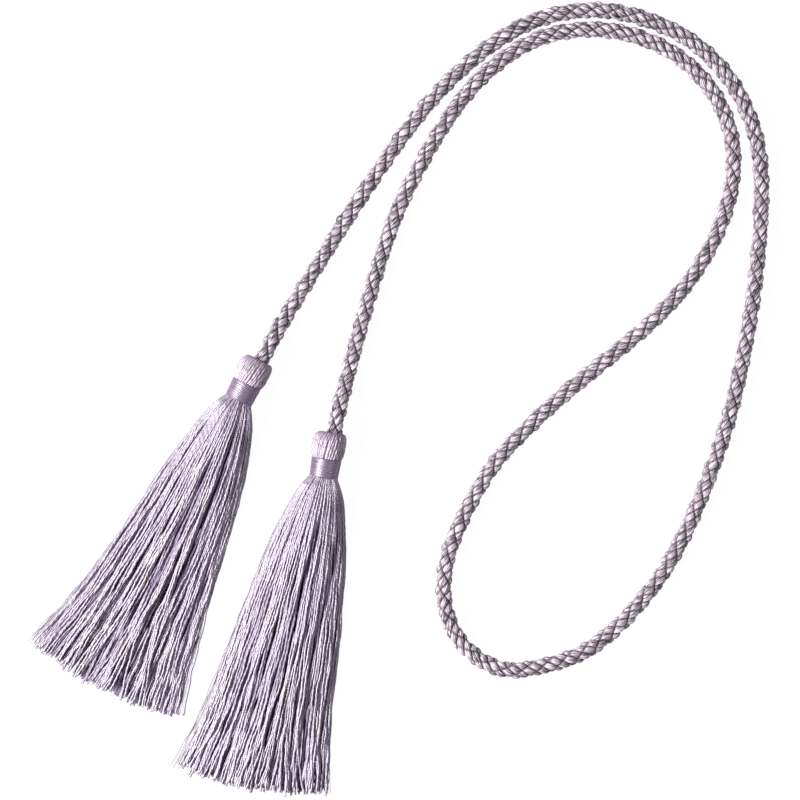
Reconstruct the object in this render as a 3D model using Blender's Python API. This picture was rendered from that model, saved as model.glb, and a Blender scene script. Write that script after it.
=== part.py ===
"""Curtain tieback: one loop of round braided cord with a tassel on each end, lying on a table.

Metres, +Z up. The tabletop is z = 0, +Y runs from the skirts' ends to the heads, and the origin is on the
tabletop under the middle of the two tassels. In a tassel's own frame +X is sideways and the skirt runs to -Y.
"""

import math
import random

import bmesh
import bpy
import numpy as np

GAP = 0.0003

# Cord
CORD_DIAMETER = 0.0070
CORD_POINTS = 78
CORD_SIDE_RESOLUTION = 3
CORD_RISE = 0.032

# Route of the cord's middle over the tabletop, from the left head round the loop to the right head: x, y
CORD_ROUTE = (
    (0.0292, 0.0871),
    (0.0340, 0.0965),
    (0.0488, 0.1219),
    (0.1014, 0.1989),
    (0.1326, 0.2258),
    (0.1516, 0.2340),
    (0.1721, 0.2361),
    (0.1924, 0.2319),
    (0.2110, 0.2225),
    (0.2257, 0.2078),
    (0.2352, 0.1894),
    (0.2391, 0.1692),
    (0.2360, 0.1174),
    (0.2229, 0.0566),
    (0.1975, 0.0001),
    (0.1686, -0.0301),
    (0.1479, -0.0382),
    (0.1305, -0.0393),
    (0.1154, -0.0303),
    (0.1078, -0.0163),
    (0.1067, -0.0008),
    (0.1103, 0.0142),
    (0.1264, 0.0447),
    (0.1477, 0.0674),
    (0.1953, 0.1076),
    (0.2091, 0.1231),
    (0.2198, 0.1409),
    (0.2265, 0.1605),
    (0.2271, 0.1812),
    (0.2199, 0.2005),
    (0.2059, 0.2157),
    (0.1874, 0.2251),
    (0.1669, 0.2281),
    (0.1465, 0.2243),
    (0.1287, 0.2137),
    (0.1141, 0.1989),
    (0.0924, 0.1635),
    (0.0808, 0.1347),
    (0.0621, 0.0668),
    (0.0602, 0.0570),
)

# Hank: yarn folded over the cord's end. Lengths along a tassel are counted from the top of its head.
HEAD_AXIS_HEIGHT = 0.0065
HEAD_SIDES = 36
HEAD_TWIST = math.radians(14)
FLUTE_DEPTH = 0.00016
DIMPLE_SIDEWAYS = 0.0011
# along, radius, fluted, share of the dimple's sideways offset
HEAD_ROWS = (
    (0.0026, CORD_DIAMETER / 2 + GAP, False, 1.0),
    (0.0004, CORD_DIAMETER / 2 + GAP, False, 1.0),
    (0.0000, 0.0048, True, 0.7),
    (0.0005, 0.0060, True, 0.3),
    (0.0017, 0.0067, True, 0.0),
    (0.0036, 0.0070, True, 0.0),
    (0.0068, 0.0070, True, 0.0),
    (0.0090, 0.0066, True, 0.0),
    (0.0102, 0.0061, True, 0.0),
)
NECK_RADIUS = 0.0050
NECK_FROM, NECK_TO = 0.0105, 0.0191
# along, half width, underside, top
ROOT_ROWS = (
    (0.0196, 0.0061, 0.0007, 0.0124),
    (0.0212, 0.0074, 0.0006, 0.0125),
    (0.0238, 0.0088, 0.0004, 0.0127),
)

# Skirt: strands in upright columns side by side, each column a pile on the tabletop
SKIRT_FROM = 0.0188
COLUMNS = 29
EDGE_PILE, MIDDLE_PILE = 2, 4
EDGE_SHARE = 0.88
ROOT_SHARE = 0.93
SWAY = 0.0007
SWAY_LENGTH = 0.021
SKIRT_END_CURVE = 0.005
SKIRT_END_UNEVEN = 0.0015
# along from the binding, half width, underside, top, roundness of the section
SKIRT_ROWS = (
    (0.0040, 0.0080, 0.0006, 0.0124, 1.0),
    (0.0130, 0.0118, 0.0000, 0.0127, 0.2),
    (0.0310, 0.0169, 0.0000, 0.0116, 0.0),
    (0.0570, 0.0213, 0.0000, 0.0101, 0.0),
    (0.0910, 0.0272, 0.0000, 0.0085, 0.0),
    (0.1325, 0.0343, 0.0000, 0.0070, 0.0),
)

# Binding: smooth thread wound round the neck
BINDING_FROM, BINDING_TO = 0.0108, 0.0188
BINDING_RADIUS, BINDING_END_RADIUS = 0.0063, 0.0060
BINDING_TURNS = 12
BINDING_SIDES = 20
TURN_DEPTH = 0.00015

# name, head's top x and y, turn of the head, further turn of the skirt, seed
TASSELS = (
    ("left", 0.0293, 0.0896, math.radians(-27.0), math.radians(1.1), 3),
    ("right", 0.0594, 0.0593, math.radians(-9.5), math.radians(-3.4), 8),
)

YARN_COLOUR = (0.32, 0.27, 0.33, 1.0)
BINDING_COLOUR = (0.34, 0.29, 0.37, 1.0)
CORD_COLOUR = (0.30, 0.25, 0.31, 1.0)


def clear_scene():
    for obj in list(bpy.data.objects):
        bpy.data.objects.remove(obj, do_unlink=True)


def make_material(name, colour, roughness):
    material = bpy.data.materials.new(name)
    material.use_nodes = True
    shader = material.node_tree.nodes["Principled BSDF"]
    shader.inputs["Base Color"].default_value = colour
    shader.inputs["Roughness"].default_value = roughness
    return material


def add_mesh(name, bm, material):
    bmesh.ops.recalc_face_normals(bm, faces=bm.faces)
    mesh = bpy.data.meshes.new(name)
    bm.to_mesh(mesh)
    bm.free()
    mesh.materials.append(material)
    mesh.shade_smooth()
    mesh.set_sharp_from_angle(angle=math.radians(40))
    obj = bpy.data.objects.new(name, mesh)
    bpy.context.scene.collection.objects.link(obj)
    return obj


def bridge(bm, rings):
    """Sides between closed rings of as many vertices each."""
    for first, second in zip(rings, rings[1:]):
        for i in range(len(first)):
            bm.faces.new((first[i - 1], first[i], second[i], second[i - 1]))


def oval_ring(bm, along, middle, half_width, low, high, sides=HEAD_SIDES, flute=0.0, twist=0.0):
    """An upright oval across the tassel, none of it below the tabletop."""
    ring = []
    for i in range(sides):
        angle = 2 * math.pi * i / sides + twist
        depth = flute if i % 2 else 0.0
        x = middle + (half_width - depth) * math.sin(angle)
        z = (low + high) / 2 - ((high - low) / 2 - depth) * math.cos(angle)
        ring.append(bm.verts.new((x, -along, max(z, 0.0))))
    return ring


def round_ring(bm, along, radius, middle=0.0, **shape):
    low, high = HEAD_AXIS_HEIGHT - radius, HEAD_AXIS_HEIGHT + radius
    return oval_ring(bm, along, middle, radius, low, high, **shape)


def skirt_middle(along, skirt_turn):
    """How far the skirt's middle has moved sideways from the head's axis."""
    return along * math.tan(skirt_turn)


def hank_body(skirt_turn):
    """The head with the cord's dimple, the neck and the flare that the strands leave."""
    bm = bmesh.new()
    rings = []
    for along, radius, fluted, share in HEAD_ROWS:
        flute = FLUTE_DEPTH if fluted else 0.0
        twist = HEAD_TWIST * along / NECK_FROM
        rings.append(round_ring(bm, along, radius, DIMPLE_SIDEWAYS * share, flute=flute, twist=twist))
    for along in (NECK_FROM, NECK_TO):
        rings.append(round_ring(bm, along, NECK_RADIUS, twist=HEAD_TWIST))
    for along, half_width, low, high in ROOT_ROWS:
        middle = skirt_middle(along - SKIRT_FROM, skirt_turn)
        rings.append(oval_ring(bm, along, middle, half_width, low, high, flute=FLUTE_DEPTH, twist=HEAD_TWIST))
    bridge(bm, rings)
    bm.faces.new(rings[0])
    bm.faces.new(rings[-1])
    return bm


def column_span(row, side):
    """Lowest and highest point of the pile at a place from -1 to 1 across the skirt."""
    _, _, low, high, roundness = row
    middle, half = (low + high) / 2, (high - low) / 2
    round_half = half * math.sqrt(1 - (ROOT_SHARE * side) ** 2)
    flat_high = low + 2 * half * math.sqrt(1 - (EDGE_SHARE * side) ** 2)
    bottom = roundness * (middle - round_half) + (1 - roundness) * low
    top = roundness * (middle + round_half) + (1 - roundness) * flat_high
    return bottom, top


def add_strand(bm, side, level, pile, skirt_turn, phase, length_change):
    rings = []
    for row in SKIRT_ROWS:
        along, half_width = row[:2]
        if row is SKIRT_ROWS[-1]:
            along += length_change
        width = 2 * half_width / COLUMNS - GAP
        sway = SWAY * math.sin(along / SWAY_LENGTH + 2 * side + phase) * along / SKIRT_ROWS[-1][0]
        x = side * (half_width - width / 2) + sway + skirt_middle(along, skirt_turn)
        bottom, top = column_span(row, side)
        low = bottom + (top - bottom) * level / pile
        high = bottom + (top - bottom) * (level + 1) / pile - GAP
        y = -(SKIRT_FROM + along)
        corners = ((x - width / 2, y, low), (x + width / 2, y, low), (x, y, high))
        rings.append([bm.verts.new(corner) for corner in corners])
    bridge(bm, rings)
    bm.faces.new(rings[0])
    bm.faces.new(rings[-1])


def skirt_strands(skirt_turn, seed):
    rng = random.Random(seed)
    phase = rng.uniform(0, 2 * math.pi)
    bm = bmesh.new()
    for column in range(COLUMNS):
        side = 2 * column / (COLUMNS - 1) - 1
        pile = EDGE_PILE + round((MIDDLE_PILE - EDGE_PILE) * math.sqrt(1 - side**2))
        for level in range(pile):
            change = rng.uniform(-SKIRT_END_UNEVEN, SKIRT_END_UNEVEN) - SKIRT_END_CURVE * side**2
            add_strand(bm, side, level, pile, skirt_turn, phase, change)
    return bm


def make_hank(name, skirt_turn, seed, material):
    hank = add_mesh(f"hank_{name}", hank_body(skirt_turn), material)
    strands = add_mesh(f"strands_{name}", skirt_strands(skirt_turn, seed), material)
    strands.hide_render = True
    strands.display_type = "WIRE"
    strands.parent = hank
    join = hank.modifiers.new("Strands", "BOOLEAN")
    join.operation = "UNION"
    join.object = strands
    return hank


def make_binding(name, material):
    bm = bmesh.new()
    inside = NECK_RADIUS + GAP
    rings = [round_ring(bm, BINDING_FROM, inside, sides=BINDING_SIDES)]
    steps = 2 * BINDING_TURNS
    for step in range(steps + 1):
        share = step / steps
        along = BINDING_FROM + (BINDING_TO - BINDING_FROM) * share
        radius = BINDING_RADIUS + (BINDING_END_RADIUS - BINDING_RADIUS) * share
        if step % 2 == 0:
            radius -= TURN_DEPTH
        rings.append(round_ring(bm, along, radius, sides=BINDING_SIDES))
    rings.append(round_ring(bm, BINDING_TO, inside, sides=BINDING_SIDES))
    bridge(bm, rings + rings[:1])
    return add_mesh(f"binding_{name}", bm, material)


def smooth_curve(route, count):
    """Points at equal steps on a centripetal Catmull-Rom curve through the route, and how far along each is."""
    points = np.array(route)
    points = np.vstack([2 * points[0] - points[1], points, 2 * points[-1] - points[-2]])
    fine = []
    for a, b, c, d in zip(points, points[1:], points[2:], points[3:]):
        t1 = np.linalg.norm(b - a) ** 0.5
        t2 = t1 + np.linalg.norm(c - b) ** 0.5
        t3 = t2 + np.linalg.norm(d - c) ** 0.5
        for t in np.linspace(t1, t2, 40, endpoint=False):
            ab = a + (b - a) * t / t1
            bc = b + (c - b) * (t - t1) / (t2 - t1)
            cd = c + (d - c) * (t - t2) / (t3 - t2)
            abc = ab + (bc - ab) * t / t2
            bcd = bc + (cd - bc) * (t - t1) / (t3 - t1)
            fine.append(abc + (bcd - abc) * (t - t1) / (t2 - t1))
    fine = np.array(fine + [points[-2]])
    travelled = np.concatenate([[0], np.cumsum(np.linalg.norm(np.diff(fine, axis=0), axis=1))])
    wanted = np.linspace(0, travelled[-1], count)
    return np.stack([np.interp(wanted, travelled, fine[:, axis]) for axis in (0, 1)], axis=1), wanted


def cord_points(count):
    """The cord's middle: a radius above the tabletop, rising to the heads' axes at its two ends."""
    flat, travelled = smooth_curve(CORD_ROUTE, count)
    from_end = np.minimum(travelled, travelled[-1] - travelled)
    fallen = np.clip(from_end / CORD_RISE, 0, 1)
    fallen = fallen * fallen * (3 - 2 * fallen)
    height = HEAD_AXIS_HEIGHT + (CORD_DIAMETER / 2 - HEAD_AXIS_HEIGHT) * fallen
    return np.column_stack([flat, height])


def make_cord(material):
    curve = bpy.data.curves.new("cord", "CURVE")
    curve.dimensions = "3D"
    curve.bevel_depth = CORD_DIAMETER / 2
    curve.bevel_resolution = CORD_SIDE_RESOLUTION
    curve.use_fill_caps = True
    spline = curve.splines.new("POLY")
    spline.points.add(CORD_POINTS - 1)
    for target, point in zip(spline.points, cord_points(CORD_POINTS)):
        target.co = (*point, 1.0)
    spline.use_smooth = True
    curve.materials.append(material)
    cord = bpy.data.objects.new("cord", curve)
    bpy.context.scene.collection.objects.link(cord)
    return cord


def make_tassel(name, x, y, turn, skirt_turn, seed, yarn, thread):
    for piece in (make_hank(name, skirt_turn, seed, yarn), make_binding(name, thread)):
        piece.location = (x, y, 0.0)
        piece.rotation_euler = (0.0, 0.0, turn)


def main():
    clear_scene()
    yarn = make_material("yarn", YARN_COLOUR, 0.45)
    thread = make_material("binding", BINDING_COLOUR, 0.35)
    make_cord(make_material("cord", CORD_COLOUR, 0.45))
    for tassel in TASSELS:
        make_tassel(*tassel, yarn, thread)


main()
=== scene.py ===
"""Curtain tieback: a loop of braided cord with a yarn tassel on each end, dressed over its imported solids.

Metres, +Z up, tabletop at z = 0. A tassel is built in its own frame, where +X is sideways and the skirt runs
to -Y, and lengths along it are counted from the top of its head.
"""

import math
from collections import namedtuple

import bpy
import numpy as np
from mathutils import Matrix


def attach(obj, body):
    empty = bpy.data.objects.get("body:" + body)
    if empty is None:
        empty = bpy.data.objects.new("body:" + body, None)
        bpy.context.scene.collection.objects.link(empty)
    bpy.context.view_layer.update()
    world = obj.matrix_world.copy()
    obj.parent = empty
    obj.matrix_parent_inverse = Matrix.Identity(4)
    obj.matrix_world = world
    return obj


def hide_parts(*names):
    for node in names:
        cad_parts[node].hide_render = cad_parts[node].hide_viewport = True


bl_info = {
    "name": "Curtain tieback with tassels",
    "version": (1, 0, 0),
    "blender": (4, 5, 0),
    "location": "View3D > Sidebar > Tieback",
    "description": "Braided cord, tassel heads, bindings and skirts of a curtain tieback",
    "category": "Object",
}

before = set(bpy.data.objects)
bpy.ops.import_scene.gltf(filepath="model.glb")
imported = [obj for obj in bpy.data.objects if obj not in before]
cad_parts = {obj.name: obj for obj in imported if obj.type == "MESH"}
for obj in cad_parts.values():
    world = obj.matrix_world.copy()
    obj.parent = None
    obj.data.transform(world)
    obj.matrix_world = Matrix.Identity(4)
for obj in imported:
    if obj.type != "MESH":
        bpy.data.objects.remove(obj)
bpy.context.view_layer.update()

MM = 0.001
UPWARD = np.array([0.0, 0.0, 1.0])

# Route of the cord's middle over the tabletop, from the left head round the loop to the right head: x, y
CORD_ROUTE = (
    (0.0292, 0.0871), (0.0340, 0.0965), (0.0488, 0.1219), (0.1014, 0.1989),
    (0.1326, 0.2258), (0.1516, 0.2340), (0.1721, 0.2361), (0.1924, 0.2319),
    (0.2110, 0.2225), (0.2257, 0.2078), (0.2352, 0.1894), (0.2391, 0.1692),
    (0.2360, 0.1174), (0.2229, 0.0566), (0.1975, 0.0001), (0.1686, -0.0301),
    (0.1479, -0.0382), (0.1305, -0.0393), (0.1154, -0.0303), (0.1078, -0.0163),
    (0.1067, -0.0008), (0.1103, 0.0142), (0.1264, 0.0447), (0.1477, 0.0674),
    (0.1953, 0.1076), (0.2091, 0.1231), (0.2198, 0.1409), (0.2265, 0.1605),
    (0.2271, 0.1812), (0.2199, 0.2005), (0.2059, 0.2157), (0.1874, 0.2251),
    (0.1669, 0.2281), (0.1465, 0.2243), (0.1287, 0.2137), (0.1141, 0.1989),
    (0.0924, 0.1635), (0.0808, 0.1347), (0.0621, 0.0668), (0.0602, 0.0570),
)
# Over what length its ends rise to the heads
CORD_RISE = 0.032
CORD_STEPS, CORD_PATH_STEPS, ROUTE_STEPS = 1600, 160, 40
HEAD_AXIS_HEIGHT = 0.0065

# Braid: a grain lies between a long side and a short side, each of which goes ahead and turns round the cord.
# LONG_ROUND long sides on and SHORT_ROUND short sides back lead once round the cord.
PERIOD = 0.00882
LONG_AHEAD, LONG_TURN = 0.4 * PERIOD, math.radians(70.2)
LONG_ROUND, SHORT_ROUND = 3, 4
SHORT_AHEAD = LONG_ROUND * LONG_AHEAD / SHORT_ROUND
SHORT_TURN = (LONG_ROUND * LONG_TURN - 2 * math.pi) / SHORT_ROUND
LONG_STEPS, SHORT_STEPS = 9, 8
# How much closer together the steps are at a grain's edges
CROWDING = 0.55
# A grain's size along its long and its short side, and how far the shade painted along its edges and at its
# corners reaches in, in millimetres
GRAIN_LONG, GRAIN_SHORT = 5.5, 3.5
EDGE_PAINTED_SHADE, CORNER_PAINTED_SHADE = 0.74, 1.3
# A grain's section: how square it is, and how steep along its long and its short side
GRAIN_SQUARE, LONG_STEEP, SHORT_STEEP = 2.1, 0.60, 0.55
# How uneven the grains' heights are, as a share, and how the fibres slant over a grain
GRAIN_UNEVEN, FIBRE_SLANT = 0.07, 0.75
# Numbers that give each grain a height and a colour of its own
HEIGHT_KEYS, COLOUR_KEY, SCATTER, SCATTER_COLOUR = (31.7, 7.13), 977, 12.9898, 43758.5453
# How sharply the painted shade of a grain's edges meets at its corners, and a length in millimetres that
# keeps this finite on them
EDGE_SHARPNESS, EDGE_GAP = 2.5, 0.02

# Tassels: name, head's top x and y, turn of the head, seed for its random numbers
TASSELS = (
    ("left", 0.0293, 0.0896, math.radians(-27.0), 3),
    ("right", 0.0594, 0.0593, math.radians(-9.5), 8),
)
# Further turn of each skirt, how far it bows sideways, and how much narrower its ends are and where
SKIRT_TURN = {"left": math.radians(1.2), "right": math.radians(-3.7)}
SKIRT_BOW = {"left": 0.0016, "right": 0.0005}
SKIRT_NARROWER = {"left": 0.0, "right": 0.06}
NARROWER_FROM, NARROWER_OVER = 0.070, 0.045
# Partings where a skirt's yarns lie lower and show those below: along from the binding where it starts and
# ends, place across at both, half width, depth
PARTINGS = {
    "left": (
        (0.018, 0.098, 0.03, 0.00, 0.075, 1.0),
        (0.085, 0.140, 0.00, -0.24, 0.060, 0.7),
        (0.008, 0.088, 0.36, 0.43, 0.055, 0.9),
        (0.045, 0.075, 0.20, 0.20, 0.045, 0.6),
        (-0.010, 0.024, 0.66, 0.73, 0.050, 0.6),
        (0.066, 0.112, 0.80, 0.82, 0.060, 0.7),
        (-0.010, 0.026, -0.60, -0.68, 0.050, 0.5),
        (0.045, 0.110, -0.48, -0.52, 0.040, 0.2),
    ),
    "right": (
        (0.010, 0.048, 0.26, 0.07, 0.060, 1.0),
        (0.036, 0.100, 0.08, -0.02, 0.080, 1.0),
        (0.020, 0.064, 0.75, 0.60, 0.055, 0.9),
        (0.054, 0.084, 0.60, 0.47, 0.050, 0.7),
        (0.088, 0.140, 0.60, 0.64, 0.065, 0.7),
        (0.058, 0.108, -0.27, -0.32, 0.070, 0.9),
        (0.008, 0.048, -0.59, -0.63, 0.050, 0.5),
        (0.040, 0.104, -0.60, -0.66, 0.070, 0.5),
    ),
}
# Over what length a parting opens and closes, and how far it pushes yarns aside as a share of its half width
PARTING_OVER, PARTING_PUSH = 0.014, 0.55

# Head's outside: along, radius, share of the dimple's sideways offset
HEAD_ROWS = np.array((
    (0.0034, 0.0037, 1.0), (0.0012, 0.0040, 1.0), (0.0002, 0.0046, 0.8),
    (0.0001, 0.0053, 0.5), (0.0006, 0.0061, 0.3), (0.0018, 0.0067, 0.1),
    (0.0036, 0.0070, 0.0), (0.0068, 0.0070, 0.0), (0.0090, 0.0067, 0.0),
    (0.0106, 0.0061, 0.0), (0.0118, 0.0054, 0.0),
))
DIMPLE_SIDEWAYS = 0.0011
# Steps of a head's yarn, sides of its core, and steps that its outline is smoothed in, with so many together
HEAD_STEPS, HEAD_SIDES, HEAD_FINE_STEPS, HEAD_TOGETHER = 34, 48, 400, 31
# The core under the head's yarns: how far inside them it lies, its first two radii, which close the dimple,
# and how much shade is painted on it
CORE_INSIDE, CORE_RADII, CORE_PAINTED_SHADE = 0.00055, (0.0010, 0.0036), 0.9
# The head's two layers of yarn: how far outside it they lie, and how they lean from the dimple to the binding
HEAD_UNDER, HEAD_OVER = (-0.00008, math.radians(-20)), (0.00016, math.radians(-22))
# Waves of a head's yarn: length as a share of the outline, and how far it turns round the head
HEAD_WAVES = ((0.9, 0.020), (0.42, 0.012))
# How unevenly a head's yarns lie: place, lean, length of the waves and thickness
HEAD_PLACE, HEAD_LEAN, HEAD_STRETCH, HEAD_THICKNESS = 0.25, 0.16, (0.8, 1.25), (0.92, 1.04)
# Share of the outline that stays in place as a yarn leans, its waves outwards along it, and their height
LEAN_ROUND, HEAD_BOBS, HEAD_BOB = 0.3, 2.3, 0.00006
# Shade painted on the underside of a head's yarn
HEAD_UNDERSIDE_PAINTED_SHADE = 0.15

BINDING_FROM, BINDING_TO = 0.0108, 0.0188
BINDING_RADIUS, BINDING_END_RADIUS, BINDING_INSIDE = 0.0063, 0.0060, 0.0045
WINDING_SIDES, ROWS_A_TURN = 96, 6
# How unevenly the thread lies, in turns, and how unevenly thick it is
WINDING_UNEVEN, THREAD_UNEVEN = 0.14, 0.00005
# How far the winding falls off at its two ends, and over which share of it
WINDING_FALL, WINDING_EDGE = 0.0004, 0.07

# How much thinner two plies are across than side by side
PLY_FLATNESS = 0.19

SKIRT_FROM = 0.0188
SKIRT_LENGTH = 0.133
# How much shorter the outermost yarns are
SKIRT_END_CURVE = 0.0040
# How much thinner a flat section is at its edges, and how far out on a round section the edges lie, as shares
EDGE_SHARE, ROOT_SHARE = 0.80, 0.93
# Yarns start under the binding. Their ends are uneven, and some are cut shorter
YARN_START = -0.0016
END_UNEVEN, SHORT_SHARE, SHORTER = 0.0008, 0.08, (0.001, 0.004)
# Yarns wander to the side from DRIFT_FROM on and splay at their ends, as shares of the skirt's half width
DRIFT, DRIFT_FROM, DRIFT_OVER = 0.035, 0.045, 0.085
SPLAY, SPLAY_FROM = 0.055, 0.080
EDGE_LIMIT = 0.98
# A lock or tuft: weakest and strongest pull, first and last start
LOCK_PULL, LOCK_START = (0.12, 0.34), (0.002, 0.030)
TUFT_PULL, TUFT_START = (0.25, 0.60), (-0.010, 0.050)
# Over what length it pulls, first and last place where it lets go, over what length and how far
PULL_OVER, LOOSEN_FROM, LOOSEN_OVER, LOOSENED = 0.045, (0.100, 0.128), 0.035, 0.55
# Least and most lift of a yarn in a lock's middle, in metres, and how much of a tuft's counts
LOCK_LIFT, TUFT_LIFT = (0.25 * MM, 0.8 * MM), 0.4
# Sets of ridges on a skirt: how many, and the lowest and highest number across, number along and start
RIDGES, RIDGE_LOWEST, RIDGE_HIGHEST = 8, (2, -1.2, 0), (12, 1.2, 2 * math.pi)
# What brings their sum to about -1 to 1, and over what length they grow from the binding
RIDGES_TOGETHER, RIDGE_FROM_BINDING = 2.4, 0.014
# How far ridges and crossing yarns lift, over what length a crossing does, and how deep a parting is
RIDGE_LIFT, CROSSING_LIFT, CROSSING_OVER, PARTING_DEPTH = 0.00018, 0.0008, 0.040, 0.0013
# A bundle of yarns that crosses over others: its place and half width, the share of its yarns that go, how
# far to one side, each yarn's own share of that, and where it starts
BUNDLE_PLACE, BUNDLE_WIDTH, BUNDLE_SHARE = (-0.85, 0.85), (0.02, 0.06), 0.8
BUNDLE_GOES, BUNDLE_UNEVEN, BUNDLE_FROM = (0.12, 0.34), (0.6, 1.4), (0.050, 0.092)
# Length and share of the sideways waves that a yarn lies in, how they are stretched, where they are full and
# how they grow to the ends, and the length and share of its waves up and down
YARN_WAVES = ((0.034, 0.60), (0.015, 0.34), (0.0072, 0.12))
WAVE_STRETCH, WAVE_OVER, WAVE_AT_BINDING, WAVE_GROWS = (0.75, 1.3), 0.030, 0.6, 0.6
BOB_LENGTH, BOB_SHARE = 0.021, 0.6
# A yarn is thinner at the binding, and some are thicker than others. Its middle lies at least LEAST_HEIGHT
# times its radius over the tabletop
THIN_AT_BINDING, THIN_OVER, YARN_UNEVEN, LEAST_HEIGHT = 0.74, 0.040, (0.90, 1.08), 1.2
# Shade painted on a yarn: at the skirt's underside, less on a ridge, less at the edges, more in a
# parting and on the yarn's own underside
UNDER_PAINTED_SHADE, RIDGE_PAINTED_SHADE, SIDE_PAINTED_SHADE, PARTING_PAINTED_SHADE, OWN_PAINTED_SHADE = 1.3, 0.08, 0.5, 0.55, 0.75
# Strays stand off a skirt's two sides: where they start from across it and their share of a yarn's thickness
STRAYS_LEFT, STRAYS_RIGHT = (-1.01, -0.96), (0.94, 0.98)
STRAY_THICKNESS = ((0.3,) * 9, (1.0, 1.0, 0.4, 0.3, 0.3))
STRAY_STANDS_OFF, STRAY_FROM, STRAY_OVER = 0.020, 0.060, 0.050

# A layer of a skirt: the setting that counts its yarns, how unevenly they are spaced, its lowest and highest
# level from the skirt's underside to its top, steps and sides of a yarn, whether it is plied, bundles that
# cross, and whether locks draw it in
Layer = namedtuple("Layer", "yarns jitter lowest highest steps sides plied crossing gathered")
SKIRT_LAYERS = (
    Layer("top", 0.45, 0.90, 1.03, 252, 6, True, 24, True),
    Layer("second", 0.45, 0.72, 0.89, 170, 6, True, 8, True),
    Layer("under", 0.30, 0.48, 0.70, 44, 3, False, 0, True),
    Layer("under", 0.20, 0.00, 0.25, 36, 3, False, 0, False),
)
# STRAY_THICKNESS counts the strays
STRAYS = Layer(None, 0.0, 0.5, 0.5, 90, 5, False, 0, False)
# A yarn of fewer steps has them closer together at the binding, where it bends most
FEW_STEPS, FEW_STEPS_POWER = 80, 1.6

# Half of a skirt's width: along from the binding, half width
SKIRT_WIDTHS = np.array((
    (0.000, 0.0060), (0.003, 0.0079), (0.006, 0.0095), (0.009, 0.0108), (0.015, 0.0126),
    (0.021, 0.0143), (0.027, 0.0158), (0.039, 0.0182), (0.051, 0.0200), (0.063, 0.0218),
    (0.087, 0.0252), (0.099, 0.0272), (0.111, 0.0298), (0.123, 0.0330), (0.133, 0.0350),
))
# Section of a skirt: along from the binding, underside, top, roundness
SKIRT_ROWS = np.array((
    (-0.0020, 0.0018, 0.0112, 1.0), (0.0000, 0.0014, 0.0117, 1.0),
    (0.0040, 0.0006, 0.0125, 1.0), (0.0130, 0.0000, 0.0128, 0.2),
    (0.0310, 0.0000, 0.0117, 0.0), (0.0570, 0.0000, 0.0101, 0.0),
    (0.0910, 0.0000, 0.0085, 0.0), (0.1325, 0.0000, 0.0070, 0.0),
))

# Stage
CAMERA_AT = (0.0882, 0.0731, 0.9333)
LENS, SENSOR = 100.0, 36.0
LIGHTS_AIM = (0.09, 0.07, 0.0)
# Where each light is, how wide and how high
KEY_LIGHT = ((-0.95, -0.04, 0.92), 1.30, 0.34)
FILL_LIGHT = ((0.95, 0.35, 0.75), 0.80, 0.80)
FLOOR_SIZE = 12.0
# The camera sees the tabletop as nearly white, with faint shadows
FLOOR_SEEN, FLOOR_SHADED = 0.97, (0.04, 0.04, 0.04, 1.0)
# Colour and strength of the light from all round
AROUND_COLOUR, AROUND_STRENGTH = (1.0, 0.88, 1.13, 1.0), 0.19
WHITE = (1.0, 1.0, 1.0, 1.0)


# Sizes and colours that a user would change


class CordSettings(bpy.types.PropertyGroup):
    diameter: bpy.props.FloatProperty(
        name="Diameter", description="Over the tops of the braid's grains", default=0.0075, unit="LENGTH"
    )
    valley: bpy.props.FloatProperty(
        name="Valley", description="Depth between the grains", default=0.00180, unit="LENGTH"
    )
    colour: bpy.props.FloatVectorProperty(
        name="Colour", description="Cord's yarn", default=(0.345, 0.288, 0.332, 1.0), size=4, subtype="COLOR"
    )


class YarnSettings(bpy.types.PropertyGroup):
    diameter: bpy.props.FloatProperty(
        name="Diameter", description="One two-ply yarn", default=0.00106, unit="LENGTH"
    )
    twist: bpy.props.FloatProperty(
        name="Twist", description="Length of one whole turn of the plies", default=0.0058, unit="LENGTH"
    )
    colour: bpy.props.FloatVectorProperty(
        name="Colour", description="Tassel yarn", default=(0.215, 0.175, 0.224, 1.0), size=4, subtype="COLOR"
    )


class SkirtSettings(bpy.types.PropertyGroup):
    top: bpy.props.IntProperty(name="Top yarns", description="Yarns that lie on top of a skirt", default=56)
    second: bpy.props.IntProperty(name="Second yarns", description="Yarns just under those", default=60)
    under: bpy.props.IntProperty(name="Under yarns", description="Yarns in each layer below", default=78)
    locks: bpy.props.IntProperty(name="Locks", description="Groups that yarns hang together in", default=13)
    tufts: bpy.props.IntProperty(name="Tufts", description="Smaller groups towards the ends", default=30)
    wave: bpy.props.FloatProperty(
        name="Wave", description="How far a yarn bends to each side", default=0.00045, unit="LENGTH"
    )


class HeadSettings(bpy.types.PropertyGroup):
    yarns: bpy.props.IntProperty(name="Yarns", description="Yarns side by side round a head", default=54)
    over: bpy.props.IntProperty(name="Yarns over", description="Yarns that lie over those", default=34)


class BindingSettings(bpy.types.PropertyGroup):
    turns: bpy.props.IntProperty(name="Turns", description="Turns of thread round a neck", default=11)
    groove: bpy.props.FloatProperty(
        name="Groove", description="Depth between two turns", default=0.00022, unit="LENGTH"
    )
    colour: bpy.props.FloatVectorProperty(
        name="Colour", description="Thread", default=(0.072, 0.036, 0.094, 1.0), size=4, subtype="COLOR"
    )


class StageSettings(bpy.types.PropertyGroup):
    colour: bpy.props.FloatVectorProperty(
        name="Floor", description="Tabletop", default=(0.46, 0.42, 0.48, 1.0), size=4, subtype="COLOR"
    )
    key: bpy.props.FloatProperty(
        name="Key light", description="Large soft light at the left", default=61.0, unit="POWER"
    )
    fill: bpy.props.FloatProperty(
        name="Fill light", description="Weak soft light at the right", default=4.5, unit="POWER"
    )


# Meshes


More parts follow.
